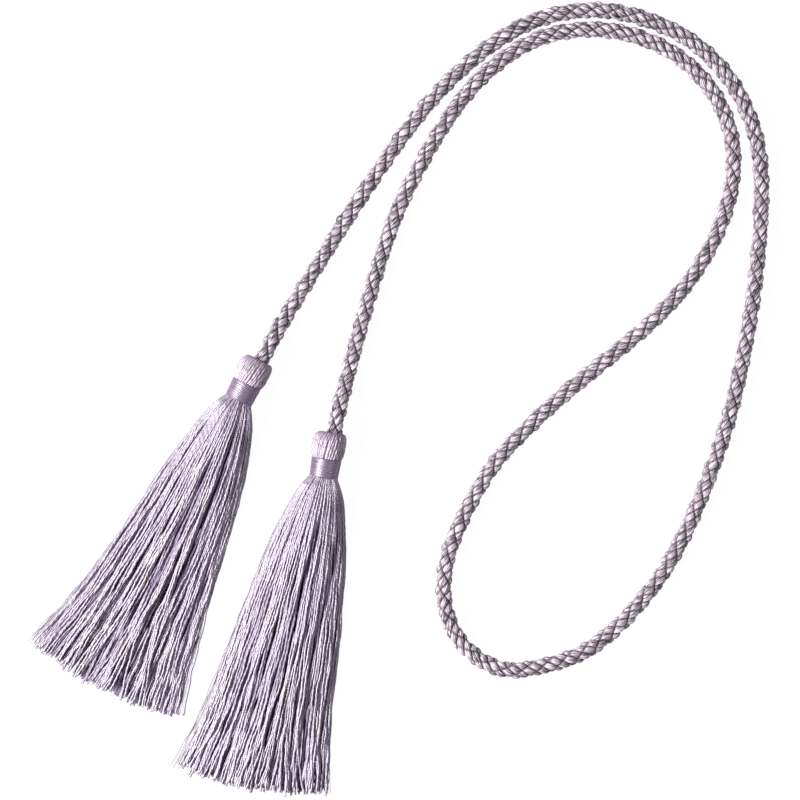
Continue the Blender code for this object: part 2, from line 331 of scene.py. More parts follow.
def add_piece(name, material, points, faces, corners=None, shade=None):
    """A smooth mesh object. faces holds arrays of point numbers, one for each number of corners.

    corners holds the strand values of the faces' corners: place round the strand or across it, millimetres
    along it, and a number of the strand's own. shade says how much shade is painted on each point.
    """
    mesh = bpy.data.meshes.new(name)
    totals = np.concatenate([np.full(len(array), array.shape[1]) for array in faces])
    loops = np.concatenate([array.ravel() for array in faces])
    mesh.vertices.add(len(points))
    mesh.vertices.foreach_set("co", np.asarray(points, np.float32).ravel())
    mesh.loops.add(len(loops))
    mesh.loops.foreach_set("vertex_index", loops.astype(np.int32))
    mesh.polygons.add(len(totals))
    mesh.polygons.foreach_set("loop_start", np.concatenate([[0], np.cumsum(totals)[:-1]]).astype(np.int32))
    mesh.polygons.foreach_set("loop_total", totals.astype(np.int32))
    if corners is not None:
        layer = mesh.attributes.new("strand", "FLOAT_VECTOR", "CORNER")
        layer.data.foreach_set("vector", np.asarray(corners, np.float32).ravel())
    # Painted shade of each point, which the materials read
    if shade is not None:
        layer = mesh.attributes.new("hollow", "FLOAT", "POINT")
        layer.data.foreach_set("value", np.asarray(shade, np.float32))
    mesh.update(calc_edges=True)
    if mesh.validate(clean_customdata=False):
        raise RuntimeError(f"{name} had faulty faces")
    mesh.materials.append(material)
    mesh.shade_smooth()
    piece = bpy.data.objects.new(name, mesh)
    bpy.context.scene.collection.objects.link(piece)
    return piece


def unit(vectors):
    return vectors / np.linalg.norm(vectors, axis=-1, keepdims=True)


def smoothstep(values):
    values = np.clip(values, 0, 1)
    return values * values * (3 - 2 * values)


def tube_faces(tubes, steps, sides):
    """Walls and caps of closed tubes, whose points are numbered by tube, then by step, then by side."""
    tube, step, side = np.meshgrid(np.arange(tubes), np.arange(steps - 1), np.arange(sides), indexing="ij")
    base = (tube * steps + step) * sides
    after = (side + 1) % sides
    walls = np.stack([base + side, base + sides + side, base + sides + after, base + after], axis=-1)
    starts = np.arange(tubes)[:, None] * steps * sides + np.arange(sides)
    ends = starts + (steps - 1) * sides
    return walls.reshape(-1, 4), np.concatenate([starts, ends[:, ::-1]])


def twisted_tubes(middles, outward, radii, twist, phase, sides):
    """Tubes along middles (tubes, steps, 3). With a twist, the length of one turn, their section is flatter.

    Gives the points, the faces, the strand values of their corners and how far down each point's side faces.
    """
    tubes, steps, _ = middles.shape
    ahead = unit(np.gradient(middles, axis=1))
    sideways = unit(np.cross(ahead, outward))[:, :, None, :]
    upward = np.cross(sideways, ahead[:, :, None, :])
    travelled = np.cumsum(np.linalg.norm(np.diff(middles, axis=1), axis=2), axis=1)
    travelled = np.concatenate([np.zeros((tubes, 1)), travelled], axis=1)
    around = 2 * math.pi * np.arange(sides) / sides
    turn = travelled / twist if twist else np.zeros_like(travelled)
    angle = 2 * math.pi * (turn[:, :, None] + phase[:, None, None]) + around
    reach = 1 - PLY_FLATNESS * np.sin(around) ** 2 if twist else np.ones(sides)
    reach = (radii[:, :, None] * reach)[..., None]
    outwards = np.cos(angle)[..., None] * sideways + np.sin(angle)[..., None] * upward
    points = middles[:, :, None, :] + reach * outwards
    under = (0.5 - 0.5 * np.sin(angle)).ravel()

    tube, step, side = np.meshgrid(np.arange(tubes), np.arange(steps - 1), np.arange(sides), indexing="ij")
    corners = [
        np.stack([(side + beside) / sides, travelled[tube, step + later] / MM, phase[tube]], axis=-1)
        for later, beside in ((0, 0), (1, 0), (1, 1), (0, 1))
    ]
    corners = np.stack(corners, axis=3).reshape(-1, 3)
    own = np.repeat(np.concatenate([phase, phase]), sides)
    cap_corners = np.column_stack([np.zeros_like(own), np.zeros_like(own), own])
    corners = np.concatenate([corners, cap_corners])
    return points.reshape(-1, 3), tube_faces(tubes, steps, sides), corners, under


def join_parts(parts):
    """One set of points, faces, corners and shades from several."""
    points, faces, corners, shades = [], [], [], []
    first = 0
    for part_points, part_faces, part_corners, part_shade in parts:
        faces += [array + first for array in part_faces]
        points.append(part_points)
        corners.append(part_corners)
        shades.append(part_shade)
        first += len(part_points)
    return np.concatenate(points), faces, np.concatenate(corners), np.concatenate(shades)


def place(piece, x, y, turn):
    """Moves a piece's mesh from the tassel's own frame to its place."""
    points = np.empty(len(piece.data.vertices) * 3, np.float32)
    piece.data.vertices.foreach_get("co", points)
    across, along, height = points.reshape(-1, 3).astype(float).T
    cos, sin = math.cos(turn), math.sin(turn)
    moved = np.column_stack([x + cos * across - sin * along, y + sin * across + cos * along, height])
    piece.data.vertices.foreach_set("co", moved.astype(np.float32).ravel())
    piece.data.update()


# Cord


def smooth_curve(route, count):
    """Points, evenly spaced, of a centripetal Catmull-Rom curve through the route, and their distances."""
    points = np.array(route)
    points = np.vstack([2 * points[0] - points[1], points, 2 * points[-1] - points[-2]])
    fine = []
    for a, b, c, d in zip(points, points[1:], points[2:], points[3:]):
        t1 = np.linalg.norm(b - a) ** 0.5
        t2 = t1 + np.linalg.norm(c - b) ** 0.5
        t3 = t2 + np.linalg.norm(d - c) ** 0.5
        for t in np.linspace(t1, t2, ROUTE_STEPS, endpoint=False):
            ab = a + (b - a) * t / t1
            bc = b + (c - b) * (t - t1) / (t2 - t1)
            cd = c + (d - c) * (t - t2) / (t3 - t2)
            abc = ab + (bc - ab) * t / t2
            bcd = bc + (cd - bc) * (t - t1) / (t3 - t1)
            fine.append(abc + (bcd - abc) * (t - t1) / (t2 - t1))
    fine = np.array(fine + [points[-2]])
    travelled = np.concatenate([[0], np.cumsum(np.linalg.norm(np.diff(fine, axis=0), axis=1))])
    wanted = np.linspace(0, travelled[-1], count)
    return np.stack([np.interp(wanted, travelled, fine[:, axis]) for axis in (0, 1)], axis=1), wanted


def cord_points(count, radius):
    """The cord's middle: a radius above the tabletop, rising to the heads' axes at its two ends."""
    flat, travelled = smooth_curve(CORD_ROUTE, count)
    from_end = np.minimum(travelled, travelled[-1] - travelled)
    height = HEAD_AXIS_HEIGHT + (radius - HEAD_AXIS_HEIGHT) * smoothstep(from_end / CORD_RISE)
    return np.column_stack([flat, height]), travelled


def crowded(share):
    """The same share from 0 to 1, with steps closer together near both ends."""
    return share - CROWDING * np.sin(2 * math.pi * share) / (2 * math.pi)


def grain_shape(p, q, p_in, q_in):
    """How high each point of a grain lies, from 0 to 1, and the shade painted along its edges and corners."""
    u, v = np.abs(2 * p_in - 1), np.abs(2 * q_in - 1)
    rise = (1 - u**GRAIN_SQUARE) ** LONG_STEEP * (1 - v**GRAIN_SQUARE) ** SHORT_STEEP
    grain = np.floor(p) * HEIGHT_KEYS[0] + np.floor(q) * HEIGHT_KEYS[1]
    rise *= 1 - GRAIN_UNEVEN + GRAIN_UNEVEN * np.sin(grain * SCATTER)
    to_end, to_side = GRAIN_LONG / 2 * (1 - u), GRAIN_SHORT / 2 * (1 - v)
    to_edge = (to_end + EDGE_GAP) ** -EDGE_SHARPNESS + (to_side + EDGE_GAP) ** -EDGE_SHARPNESS
    to_edge = to_edge ** (-1 / EDGE_SHARPNESS)
    to_corner = np.hypot(to_end, to_side)
    # Painted shade: dark along the grain's edges and darkest at its corners
    hollow = np.maximum(1 - smoothstep(to_edge / EDGE_PAINTED_SHADE), 1 - smoothstep(to_corner / CORNER_PAINTED_SHADE))
    return rise, hollow


def round_cord(middle, travelled, ahead, angle, reach):
    """Points at a distance along the cord's middle, an angle round it and a reach out from it."""
    tangents = unit(np.gradient(middle, axis=0))
    centre, tangent = (
        np.stack([np.interp(ahead, travelled, values[:, axis]) for axis in range(3)], axis=-1)
        for values in (middle, tangents)
    )
    tangent = unit(tangent)
    sideways = unit(np.cross(tangent, UPWARD))
    upward = np.cross(sideways, tangent)
    outwards = np.cos(angle)[..., None] * upward + np.sin(angle)[..., None] * sideways
    return centre + reach[..., None] * outwards


def braid_faces(across, rows, inside):
    """The lattice's faces with a point inside the cord's length, and the strand values of their corners."""
    row, side = np.meshgrid(np.arange(across), np.arange(rows - 1), indexing="ij")
    wrapped = row + 1 == across
    next_row = np.where(wrapped, 0, row + 1)
    next_side = np.where(wrapped, side + SHORT_ROUND * SHORT_STEPS, side)
    here, beside = row * rows + side, next_row * rows + next_side
    faces = np.stack([here, beside, beside + 1, here + 1], axis=-1)
    keep = next_side + 1 < rows
    keep &= inside[np.where(keep[..., None], faces, 0)].any(axis=-1)

    grain = row // LONG_STEPS + side // SHORT_STEPS * COLOUR_KEY
    own = np.mod(np.sin(grain * SCATTER) * SCATTER_COLOUR, 1.0)
    p0, p1 = (crowded((row % LONG_STEPS + step) / LONG_STEPS) for step in (0, 1))
    q0, q1 = (crowded((side % SHORT_STEPS + step) / SHORT_STEPS) for step in (0, 1))
    around = ((p0, q0), (p1, q0), (p1, q1), (p0, q1))
    corners = np.stack([np.stack([q - FIBRE_SLANT * p, p, own], axis=-1) for p, q in around], axis=2)
    return faces[keep], corners[keep].reshape(-1, 3)


def braid(settings):
    """The cord's surface, built grain by grain on the braid's own lattice.

    A point is p long sides and q short sides from the start. The mesh closes on itself once round the cord.
    """
    radius = settings.diameter / 2
    middle, travelled = cord_points(CORD_STEPS, radius)
    length = travelled[-1]
    first = math.floor(-LONG_ROUND * LONG_AHEAD / SHORT_AHEAD - 1)
    last = math.ceil(length / SHORT_AHEAD) + 1
    across, rows = LONG_ROUND * LONG_STEPS, (last - first) * SHORT_STEPS + 1
    long_step, short_step = np.meshgrid(np.arange(across), np.arange(rows), indexing="ij")
    p_in = crowded((long_step % LONG_STEPS) / LONG_STEPS)
    q_in = crowded((short_step % SHORT_STEPS) / SHORT_STEPS)
    p = long_step // LONG_STEPS + p_in
    q = first + short_step // SHORT_STEPS + q_in

    ahead = LONG_AHEAD * p + SHORT_AHEAD * q
    inside = (ahead > 0) & (ahead < length)
    rise, hollow = grain_shape(p, q, p_in, q_in)
    reach = np.where(inside, radius - settings.valley * (1 - rise), 0.0)
    angle = LONG_TURN * p + SHORT_TURN * q
    points = round_cord(middle, travelled, np.clip(ahead, 0, length), angle, reach)
    inside = inside.ravel()
    return points.reshape(-1, 3), *braid_faces(across, rows, inside), hollow.ravel(), inside


def close_ends(points, faces, corners, shade, inside):
    """Joins the points past each end of the cord into one, and leaves out faces that this closes up."""
    past = np.flatnonzero(~inside)
    rounded = points.round(7)[past]
    ends = np.unique(rounded, axis=0)
    if len(ends) != 2:
        raise RuntimeError("the cord should have two ends")
    target = np.arange(len(points))
    for end in ends:
        here = past[np.all(rounded == end, axis=1)]
        target[here] = here[0]
    faces = target[faces]
    in_order = np.sort(faces, axis=1)
    doubles = (in_order[:, 1:] == in_order[:, :-1]).sum(axis=1)
    corners = corners.reshape(len(faces), 4, 3)
    quads, quad_corners = faces[doubles == 0], corners[doubles == 0]
    triangles, triangle_corners = [], []
    for face, values in zip(faces[doubles == 1], corners[doubles == 1]):
        kept = [i for i in range(4) if face[i] != face[i - 1]]
        if len(kept) == 3:
            triangles.append(face[kept])
            triangle_corners.append(values[kept])
    triangles = np.array(triangles, int).reshape(-1, 3)
    used = np.zeros(len(points), bool)
    used[quads.ravel()] = True
    used[triangles.ravel()] = True
    number = np.cumsum(used) - 1
    corners = np.concatenate([quad_corners.reshape(-1, 3), np.array(triangle_corners).reshape(-1, 3)])
    return points[used], (number[quads], number[triangles]), corners, shade[used]


# Tassels


def half_width(along):
    """Half of a skirt's width, from the binding's end."""
    return np.interp(along, SKIRT_WIDTHS[:, 0], SKIRT_WIDTHS[:, 1])


def skirt_span(along, side):
    """Lowest and highest point of a skirt at a place from -1 to 1 across it."""
    low, high, roundness = (np.interp(along, SKIRT_ROWS[:, 0], SKIRT_ROWS[:, i]) for i in (1, 2, 3))
    middle, half = (low + high) / 2, (high - low) / 2
    side = np.clip(side, -1, 1)
    round_half = half * np.sqrt(1 - (ROOT_SHARE * side) ** 2)
    flat_high = low + 2 * half * (1 - EDGE_SHARE * side**2)
    bottom = roundness * (middle - round_half) + (1 - roundness) * low
    top = roundness * (middle + round_half) + (1 - roundness) * flat_high
    return bottom, top


def spread(rng, count, jitter):
    """Places from -1 to 1 at even steps, each moved a little."""
    return np.clip(2 * (np.arange(count) + 0.5 + rng.uniform(-jitter, jitter, count)) / count - 1, -1, 1)


class Locks:
    """Groups that a skirt's yarns hang together in."""

    def __init__(self, rng, count, pull, start):
        self.middles = spread(rng, count, 0.35)
        self.pull = rng.uniform(*pull, count)
        self.start = rng.uniform(*start, count)
        self.loosen = rng.uniform(*LOOSEN_FROM, count)
        self.lift = rng.uniform(*LOCK_LIFT, count)
        limits = tuple(zip(RIDGE_LOWEST, RIDGE_HIGHEST))
        self.ridges = [[rng.uniform(*pair) for pair in limits] for _ in range(RIDGES)]

    def of(self, rng, side):
        """The lock of each yarn, usually the nearest."""
        near = np.abs(side[:, None] + rng.normal(0, 0.025, len(side))[:, None] - self.middles)
        return near.argmin(axis=1)

    def relief(self, side, along):
        """Ridges and furrows along the skirt, about -1 to 1."""
        height = np.zeros_like(along)
        for across, lengthwise, start in self.ridges:
            turned = math.pi * across * side + 2 * math.pi * lengthwise * along / SKIRT_LENGTH + start
            height += np.sin(turned) / RIDGES_TOGETHER
        return height

    def gathered(self, lock, side, along):
        """The yarns' places across the skirt once the locks have drawn them in, and how far it lifts them."""
        pull = self.pull[lock][:, None] * smoothstep((along - self.start[lock][:, None]) / PULL_OVER)
        pull *= 1 - LOOSENED * smoothstep((along - self.loosen[lock][:, None]) / LOOSEN_OVER)
        middle = self.middles[lock][:, None]
        offset = side - middle
        room = 1.2 / len(self.middles)
        lift = self.lift[lock][:, None] * (1 - np.minimum((offset / room) ** 2, 1.6)) * pull / 0.5
        return middle + offset * (1 - pull), lift


def parted(partings, side, along):
    """How deep in a parting each point lies, from 0 to 1, and how far it is pushed out of it."""
    deep, push = np.zeros_like(along), np.zeros_like(along)
    for start, end, side_from, side_to, wide, depth in partings:
        middle = side_from + (side_to - side_from) * np.clip((along - start) / (end - start), 0, 1)
        opened = depth * smoothstep((along - start) / PARTING_OVER) * smoothstep((end - along) / PARTING_OVER)
        off = (side - middle) / wide
        deep = np.maximum(deep, opened * np.exp(-(off**2)))
        push += PARTING_PUSH * wide * opened * off * np.exp(-(off**2) / 2)
    return deep, push


class Skirt:
    """One tassel's skirt, laid yarn by yarn. Places across it are shares of its half width, from -1 to 1."""

    def __init__(self, name, seed, settings, yarn):
        self.name, self.settings, self.yarn = name, settings, yarn
        self.rng = np.random.default_rng(seed)
        self.locks = Locks(self.rng, settings.locks, LOCK_PULL, LOCK_START)
        self.tufts = Locks(self.rng, settings.tufts, TUFT_PULL, TUFT_START)

    def parts(self):
        """The top layer with the strays, and the layers under it."""
        rng = self.rng
        left, right = STRAY_THICKNESS
        strays = [rng.uniform(*STRAYS_LEFT, len(left)), rng.uniform(*STRAYS_RIGHT, len(right))]
        strays = np.concatenate(strays)
        places = [spread(rng, getattr(self.settings, layer.yarns), layer.jitter) for layer in SKIRT_LAYERS]
        laid = [
            self.lay(layer, side, rng.uniform(layer.lowest, layer.highest, len(side)))
            for layer, side in zip(SKIRT_LAYERS, places)
        ]
        half_way = np.full(len(strays), STRAYS.lowest)
        return (laid[0], self.lay(STRAYS, strays, half_way, np.array(left + right))), laid[1:]

    def lay(self, layer, side, level, thickness=None):
        """The yarns of one layer. thickness is given for strays, and is their share of a yarn's."""
        rng, count, stray = self.rng, len(side), thickness is not None
        lock, tuft = self.locks.of(rng, side), self.tufts.of(rng, side)
        along = self.lengths(side, layer)
        across, crosses = self.fanned(side, along, layer.crossing, 0.0 if stray else SPLAY)
        if stray:
            off = STRAY_STANDS_OFF * smoothstep((along - STRAY_FROM) / STRAY_OVER)
            across += np.sign(side)[:, None] * off
        else:
            across = np.clip(across, -EDGE_LIMIT, EDGE_LIMIT)
        ridge = self.locks.relief(across, along) * smoothstep(along / RIDGE_FROM_BINDING)
        lift = 0.0
        if layer.gathered:
            across, lift = self.locks.gathered(lock, across, along)
            across, more = self.tufts.gathered(tuft, across, along)
            lift = lift + TUFT_LIFT * more + RIDGE_LIFT * ridge
        deep, push = parted(PARTINGS[self.name], across, along)
        if not stray:
            across = np.clip(across + push, -EDGE_LIMIT, EDGE_LIMIT)
            lift = lift - PARTING_DEPTH * deep * level[:, None]
        lift = lift + crosses[:, None] * CROSSING_LIFT * smoothstep((along - DRIFT_FROM) / CROSSING_OVER)

        grown = WAVE_AT_BINDING + WAVE_GROWS * np.clip(along / SKIRT_LENGTH, 0, 1)
        grown *= self.settings.wave * smoothstep(along / WAVE_OVER)
        wave = self.waved(along) * grown
        start = rng.uniform(0, 2 * math.pi, count)[:, None]
        bob = BOB_SHARE * grown * np.sin(2 * math.pi * along / BOB_LENGTH + start)
        thinner = THIN_AT_BINDING + (1 - THIN_AT_BINDING) * smoothstep(along / THIN_OVER)
        radius = self.yarn.diameter / 2 * thinner * rng.uniform(*YARN_UNEVEN, count)[:, None]
        if stray:
            radius = radius * thickness[:, None]

        bottom, top = skirt_span(along, across)
        height = bottom + radius + (top - bottom - 2 * radius) * level[:, None] + lift + bob
        height = np.maximum(height, LEAST_HEIGHT * radius)
        sideways = self.sideways(along, across, radius) + wave
        middles = np.stack([sideways, -(SKIRT_FROM + along), height], axis=-1)
        twist = self.yarn.twist if layer.plied else 0.0
        phase = rng.random(count)
        points, faces, corners, under = twisted_tubes(middles, UPWARD, radius, twist, phase, layer.sides)

        # Painted shade: more deeper in the skirt, in partings and on each yarn's underside, less on ridges
        # and at the edges
        depth = 1 - np.clip((height - bottom) / np.maximum(top - bottom, MM), 0, 1)
        depth = UNDER_PAINTED_SHADE * depth - RIDGE_PAINTED_SHADE * ridge
        depth = depth * (1 - SIDE_PAINTED_SHADE * across**2) + PARTING_PAINTED_SHADE * deep
        shade = np.clip(np.repeat(depth.ravel(), layer.sides) + OWN_PAINTED_SHADE * under, 0, 1)
        return points, faces, corners, shade

    def lengths(self, side, layer):
        """How far along the skirt each step of each yarn is."""
        rng, count = self.rng, len(side)
        end = SKIRT_LENGTH - SKIRT_END_CURVE * side**2 + rng.normal(0, END_UNEVEN, count)
        end -= (rng.random(count) < SHORT_SHARE) * rng.uniform(*SHORTER, count)
        power = FEW_STEPS_POWER if layer.steps < FEW_STEPS else 1.0
        return YARN_START + (end - YARN_START)[:, None] * np.linspace(0, 1, layer.steps) ** power

    def fanned(self, side, along, crossing, splay):
        """Where each step of each yarn lies across the skirt, and which yarns cross over their neighbours."""
        rng, count = self.rng, len(side)
        drift, splay = rng.normal(0, DRIFT, count), rng.normal(0, splay, count)
        across = side[:, None] + drift[:, None] * smoothstep((along - DRIFT_FROM) / DRIFT_OVER)
        across += splay[:, None] * np.maximum((along - SPLAY_FROM) / (SKIRT_LENGTH - SPLAY_FROM), 0) ** 2
        crosses = np.zeros(count, bool)
        for _ in range(crossing):
            near = np.abs(side - rng.uniform(*BUNDLE_PLACE)) < rng.uniform(*BUNDLE_WIDTH)
            bundle = near & (rng.random(count) < BUNDLE_SHARE)
            further = rng.choice([-1, 1]) * rng.uniform(*BUNDLE_GOES) * rng.uniform(*BUNDLE_UNEVEN, count)
            begin = rng.uniform(*BUNDLE_FROM)
            first = bundle & ~crosses
            across += first[:, None] * further[:, None] * smoothstep((along - begin) / DRIFT_OVER)
            crosses |= bundle
        return across, crosses

    def waved(self, along):
        """Sideways waves of each yarn, from about -1 to 1."""
        wave = np.zeros_like(along)
        for length, part in YARN_WAVES:
            stretch = self.rng.uniform(*WAVE_STRETCH, len(along))[:, None]
            start = self.rng.uniform(0, 2 * math.pi, len(along))[:, None]
            wave += part * np.sin(2 * math.pi * along / (length * stretch) + start)
        return wave

    def sideways(self, along, across, radius):
        """The places across the skirt in metres, with its turn and bow."""
        narrower = 1 - SKIRT_NARROWER[self.name] * smoothstep((along - NARROWER_FROM) / NARROWER_OVER)
        bow = SKIRT_BOW[self.name] * np.sin(math.pi * np.clip(along / SKIRT_LENGTH, 0, 1))
        turned = along * math.tan(SKIRT_TURN[self.name])
        return across * (half_width(along) * narrower - radius) + turned + bow


def smooth_head(steps):
    """The head's outside at even steps: share of the outline, along, radius, sideways offset and slope."""
    length = np.cumsum(np.linalg.norm(np.diff(HEAD_ROWS[:, :2], axis=0), axis=1))
    length = np.concatenate([[0], length])
    fine = np.linspace(0, length[-1], HEAD_FINE_STEPS)
    kernel = np.hanning(HEAD_TOGETHER)
    kernel /= kernel.sum()
    edge = len(kernel) // 2
    table = np.stack([np.interp(fine, length, HEAD_ROWS[:, i]) for i in range(3)], axis=1)
    table = np.pad(table, ((edge, edge), (0, 0)), mode="reflect", reflect_type="odd")
    share = np.linspace(0, length[-1], steps)
    rows = [np.interp(share, fine, np.convolve(table[:, i], kernel, mode="valid")) for i in range(3)]
    return share / length[-1], *rows, np.gradient(rows[1], share)


def head_yarns(rng, yarn, count, outside, slant):
    """Folded yarns that come out of the dimple, lie over the head's shoulder and run under the binding."""
    part, along, radius, offset, slope = smooth_head(HEAD_STEPS)
    start = 2 * math.pi * (np.arange(count) + rng.uniform(-HEAD_PLACE, HEAD_PLACE, count)) / count
    lean = slant * (1 + rng.normal(0, HEAD_LEAN, count))
    angle = start[:, None] + lean[:, None] * (part - LEAN_ROUND)
    for length, amount in HEAD_WAVES:
        waves = part / (length * rng.uniform(*HEAD_STRETCH, count)[:, None]) + rng.random(count)[:, None]
        angle = angle + amount * np.sin(2 * math.pi * waves)
    thick = yarn.diameter / 2 * rng.uniform(*HEAD_THICKNESS, count)[:, None] * np.ones(HEAD_STEPS)
    lift = outside + HEAD_BOB * np.sin(2 * math.pi * (HEAD_BOBS * part + rng.random(count)[:, None]))
    reach = radius - thick + lift
    x = reach * np.sin(angle) + DIMPLE_SIDEWAYS * offset
    z = np.maximum(HEAD_AXIS_HEIGHT + reach * np.cos(angle), LEAST_HEIGHT * thick)
    middles = np.stack([x, np.broadcast_to(-along, x.shape), z], axis=-1)
    outward = unit(np.stack([np.sin(angle), np.broadcast_to(slope, x.shape), np.cos(angle)], axis=-1))
    points, faces, corners, under = twisted_tubes(middles, outward, thick, yarn.twist, rng.random(count), 6)
    # Painted shade on each yarn's underside
    return points, faces, corners, HEAD_UNDERSIDE_PAINTED_SHADE * under


def head_core():
    """A closed form round the head's axis, just inside the yarns."""
    rows = HEAD_ROWS.copy()
    rows[:, 1] -= CORE_INSIDE
    rows[:2, 1] = CORE_RADII
    angle = 2 * math.pi * np.arange(HEAD_SIDES) / HEAD_SIDES
    along, radius, offset = (rows[:, i, None] for i in range(3))
    x = DIMPLE_SIDEWAYS * offset + radius * np.sin(angle)
    z = HEAD_AXIS_HEIGHT + radius * np.cos(angle)
    points = np.stack([x, np.broadcast_to(-along, x.shape), z], axis=-1).reshape(-1, 3)
    walls, caps = tube_faces(1, len(rows), HEAD_SIDES)
    corners = np.zeros((walls.size + caps.size, 3))
    # Painted shade all over the core
    return points, (walls[:, ::-1], caps[:, ::-1]), corners, np.full(len(points), CORE_PAINTED_SHADE)


def wound_thread(settings, rng):
    """Thread wound closely round the neck: a sleeve with one groove that runs round it, turn after turn."""
    rows = settings.turns * ROWS_A_TURN + 1
    angle = 2 * math.pi * np.arange(WINDING_SIDES) / WINDING_SIDES
    share = np.linspace(0, 1, rows)[:, None]
    turn = share * settings.turns - angle / (2 * math.pi)
    whole_turns = np.arange(-1, settings.turns + 1)
    uneven = np.interp(turn, whole_turns, rng.normal(0, WINDING_UNEVEN, len(whole_turns)))
    groove = np.abs(np.sin(math.pi * (turn + uneven))) ** 0.5
    thicker = np.interp(turn, whole_turns, rng.normal(0, THREAD_UNEVEN, len(whole_turns)))
    fall = np.maximum(0, np.abs(2 * share - 1) - (1 - WINDING_EDGE)) / WINDING_EDGE
    radius = BINDING_RADIUS + (BINDING_END_RADIUS - BINDING_RADIUS) * share
    radius = radius - settings.groove * (1 - groove) + thicker - WINDING_FALL * fall
    along = np.broadcast_to(BINDING_FROM + (BINDING_TO - BINDING_FROM) * share, radius.shape)

    # The first and last row close the sleeve down to the neck
    radius = np.pad(radius, ((1, 1), (0, 0)), constant_values=BINDING_INSIDE)
    along = np.pad(along, ((1, 1), (0, 0)), mode="edge")
    groove = np.pad(groove, ((1, 1), (0, 0)))
    points = np.stack([radius * np.sin(angle), -along, HEAD_AXIS_HEIGHT + radius * np.cos(angle)], axis=-1)
    walls, caps = tube_faces(1, rows + 2, WINDING_SIDES)
    walls = np.roll(walls[:, ::-1], 1, axis=1)

    row, side = np.meshgrid(np.arange(rows + 1), np.arange(WINDING_SIDES), indexing="ij")
    turns = np.clip(row - 1, 0, rows - 1) / ROWS_A_TURN
    side_mm = 2 * math.pi * BINDING_RADIUS / MM / WINDING_SIDES
    corners = np.zeros((*row.shape, 4, 3))
    for corner, (down, on) in enumerate(((0, 0), (0, 1), (1, 1), (1, 0))):
        corners[..., corner, 0] = turns + down / ROWS_A_TURN - (side + on) / WINDING_SIDES
        corners[..., corner, 1] = (side + on) * side_mm
    corners = np.concatenate([corners.reshape(-1, 3), np.zeros((caps.size, 3))])
    # Painted shade in the groove between the thread's turns
    return points.reshape(-1, 3), (walls, caps[:, ::-1]), corners, np.clip(1 - groove, 0, 1).ravel()


# Materials

# A textile: six values of Fine fibres, then roughness, index of refraction, height of the fibres in metres,
# number, height and painted groove shade of the plies in a strand, and how the gloss changes over the fibres
Textile = namedtuple(
    "Textile",
    "across along contrast strands hollow reach roughness ior bump plies ply_height ply_dark gloss",
    defaults=(0, 0.0, 0.0, 0.0),
)
FIBRE_INPUTS = "Fibres across", "Change along", "Contrast", "Strand contrast", "Painted shade colour", "Hollow reach"
# What tells one strand's fibres and its lightness from another's, and how quickly the painted shade darkens
STRANDS_APART, LIGHTNESS_APART, PAINTED_SHADE_POWER = 91.7, 7.31, 1.3
# How much rougher a place with painted shade is
PAINTED_SHADE_ROUGHER = 0.5
# Painted light: how much lighter the heads' yarn is painted than the skirts', for the light on the heads
HEAD_PAINTED_LIGHT = (1.26, 1.21, 1.22, 1.0)


def add_node(tree, kind, values=None, **settings):
    """A node with its settings, and values or links for its inputs."""
    node = tree.nodes.new(kind)
    for name, value in settings.items():
        setattr(node, name, value)
    for name, value in (values or {}).items():
        if isinstance(value, bpy.types.NodeSocket):
            tree.links.new(value, node.inputs[name])
        else:
            node.inputs[name].default_value = value
    return node


def add_group(name, inputs, outputs):
    """A node group, with the values given to it and the values it gives."""
    group = bpy.data.node_groups.new(name, "ShaderNodeTree")
    for label, kind, default in inputs:
        group.interface.new_socket(name=label, in_out="INPUT", socket_type=kind).default_value = default
    for label, kind in outputs:
        group.interface.new_socket(name=label, in_out="OUTPUT", socket_type=kind)
    return group, group.nodes.new("NodeGroupInput").outputs, group.nodes.new("NodeGroupOutput").inputs


def math_node(tree, operation, first, second=0.0, third=0.0):
    return add_node(tree, "ShaderNodeMath", {0: first, 1: second, 2: third}, operation=operation).outputs[0]


